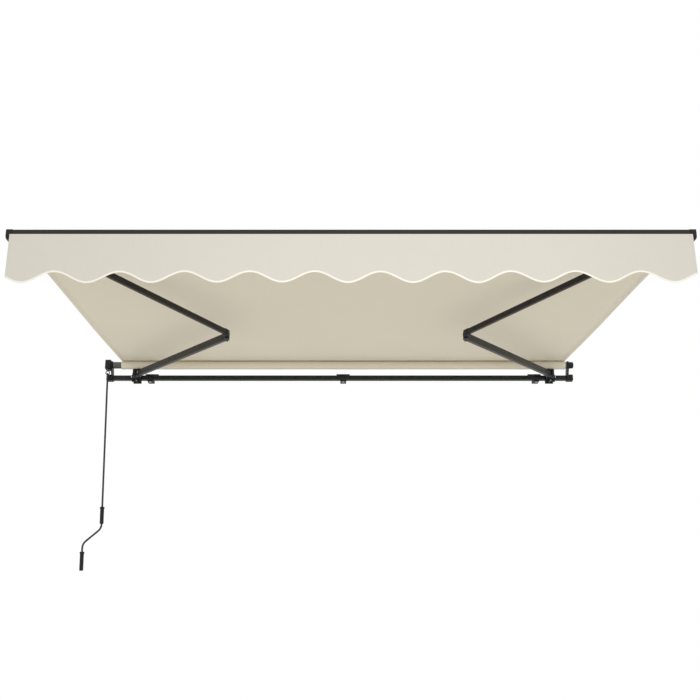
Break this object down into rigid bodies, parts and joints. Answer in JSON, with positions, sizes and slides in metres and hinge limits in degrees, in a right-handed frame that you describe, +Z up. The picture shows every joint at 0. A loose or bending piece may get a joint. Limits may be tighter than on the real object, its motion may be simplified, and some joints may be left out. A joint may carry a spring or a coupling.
{
  "type": "folding-arm patio awning",
  "caption": "Open folding-arm awning: cranked fabric roller on a wall bar, two sprung arms, front bar and a wavy valance.",
  "frame": {"origin": "on the wall plane, mid-length, level with the centre of the torsion bar, on the back face of the centre wall bracket", "axes": "+X along the awning to the right seen from the front, +Y into the wall, +Z up"},
  "size_m": [3.5786, 2.6075, 1.562],
  "materials": {
    "cast_black": "black powder-coated casting",
    "dark_aluminium": "anthracite powder-coated aluminium",
    "dark_steel": "anthracite painted steel tube",
    "bright_steel": "zinc plated",
    "grey_steel": "galvanised, dull grey",
    "black_plastic": "black moulded plastic",
    "white_nylon": "natural nylon",
    "canvas": "cream awning acrylic"
  },
  "bodies": {
    "root": {"torsion_bar": "dark_steel", "wall_bracket_left": "cast_black", "wall_bracket_centre": "cast_black", "wall_bracket_right": "cast_black", "clamp_bolt_left": "bright_steel", "clamp_bolt_centre": "bright_steel", "clamp_bolt_right": "bright_steel", "end_bracket_left": "cast_black", "end_bracket_right": "cast_black", "idler_bush": "white_nylon", "gear_case": "cast_black", "gear_cover": "black_plastic", "shoulder_bracket_left": "cast_black", "shoulder_clamp_left": "cast_black", "shoulder_bolt_upper_left": "bright_steel", "shoulder_bolt_lower_left": "bright_steel", "pitch_bolt_left": "bright_steel", "shoulder_bracket_right": "cast_black", "shoulder_clamp_right": "cast_black", "shoulder_bolt_upper_right": "bright_steel", "shoulder_bolt_lower_right": "bright_steel", "pitch_bolt_right": "bright_steel"},
    "roller": {"roller_tube": "grey_steel", "fabric_roll": "canvas", "drive_plug": "black_plastic", "idler_plug": "black_plastic", "worm_wheel": "bright_steel"},
    "worm": {"worm_shaft_with_eye": "grey_steel"},
    "crank": {"crank_rod": "grey_steel"},
    "upper_grip": {"upper_grip": "black_plastic"},
    "lower_grip": {"lower_grip": "black_plastic"},
    "pitch_left": {"shoulder_block_left": "cast_black", "shoulder_pin_left": "bright_steel", "canopy": "canvas"},
    "inner_left": {"inner_arm_left": "dark_aluminium", "shoulder_fork_left": "cast_black", "elbow_yoke_left": "cast_black", "elbow_pin_left": "bright_steel", "arm_spring_left": "bright_steel"},
    "outer_left": {"outer_arm_left": "dark_aluminium", "elbow_tongue_left": "cast_black", "wrist_tongue_left": "cast_black"},
    "pitch_right": {"shoulder_block_right": "cast_black", "shoulder_pin_right": "bright_steel"},
    "inner_right": {"inner_arm_right": "dark_aluminium", "shoulder_fork_right": "cast_black", "elbow_yoke_right": "cast_black", "elbow_pin_right": "bright_steel", "arm_spring_right": "bright_steel"},
    "outer_right": {"outer_arm_right": "dark_aluminium", "elbow_tongue_right": "cast_black", "wrist_tongue_right": "cast_black"},
    "front": {"front_bar": "dark_aluminium", "front_cap_left": "black_plastic", "front_cap_right": "black_plastic", "wrist_bracket_left": "cast_black", "wrist_bracket_right": "cast_black", "wrist_pin_left": "bright_steel", "wrist_pin_right": "bright_steel", "valance": "canvas"}
  },
  "joints": [
    {"name": "pitch_left", "type": "hinge", "parent": "root", "child": "pitch_left", "pos_m": [-1.55, -0.1, 0], "axis": [1, 0, 0], "range_deg": [-1, 10]},
    {"name": "pitch_right", "type": "hinge", "parent": "root", "child": "pitch_right", "pos_m": [1.55, -0.1, 0], "axis": [1, 0, 0], "range_deg": [-1, 10]},
    {"name": "fold_shoulder_left", "type": "hinge", "parent": "pitch_left", "child": "inner_left", "pos_m": [-1.55, -0.15046, 0.00737], "axis": [0, -0.0523, 0.9986], "range_deg": [0, 52.8], "deforming": ["canopy"]},
    {"name": "fold_elbow_left", "type": "hinge", "parent": "inner_left", "child": "outer_left", "pos_m": [-0.736, -1.32989, -0.14897], "axis": [0, -0.0523, 0.9986], "range_deg": [-105.61, 0]},
    {"name": "fold_wrist_left", "type": "hinge", "parent": "outer_left", "child": "front", "pos_m": [-1.55, -2.5192, -0.11677], "axis": [0, -0.0523, 0.9986], "range_deg": [0, 52.81]},
    {"name": "fold_shoulder_right", "type": "hinge", "parent": "pitch_right", "child": "inner_right", "pos_m": [1.55, -0.15046, 0.00737], "axis": [0, 0.0523, -0.9986], "range_deg": [0, 52.81]},
    {"name": "fold_elbow_right", "type": "hinge", "parent": "inner_right", "child": "outer_right", "pos_m": [0.736, -1.32989, -0.14897], "axis": [0, 0.0523, -0.9986], "range_deg": [-105.61, 0]},
    {"name": "roller_turn", "type": "hinge", "parent": "root", "child": "roller", "pos_m": [0, -0.105, 0.087], "axis": [-1, 0, 0], "range_deg": [0, 3802.6]},
    {"name": "worm_turn", "type": "hinge", "parent": "root", "child": "worm", "pos_m": [-1.757, -0.131, 0.066], "axis": [0, 0, 1], "continuous": true},
    {"name": "crank_swing", "type": "hinge", "parent": "worm", "child": "crank", "pos_m": [-1.757, -0.131, 0.004], "axis": [-1, 0, 0], "range_deg": [-5, 45]},
    {"name": "upper_grip_turn", "type": "hinge", "parent": "crank", "child": "upper_grip", "pos_m": [-1.72217, -0.131, -0.99339], "axis": [-0.0349, 0, 0.9994], "continuous": true},
    {"name": "lower_grip_turn", "type": "hinge", "parent": "crank", "child": "lower_grip", "pos_m": [-1.84013, -0.131, -1.3117], "axis": [-0.0349, 0, 0.9994], "continuous": true}
  ],
  "couplings": [
    {"joint": "pitch_right", "follows": "pitch_left", "ratio": 1},
    {"joint": "fold_elbow_left", "follows": "fold_shoulder_left", "ratio": -2},
    {"joint": "fold_wrist_left", "follows": "fold_shoulder_left", "ratio": 1},
    {"joint": "fold_shoulder_right", "follows": "fold_shoulder_left", "ratio": 1},
    {"joint": "fold_elbow_right", "follows": "fold_shoulder_left", "ratio": -2},
    {"joint": "roller_turn", "follows": "fold_shoulder_left", "ratio": 72}
  ]
}
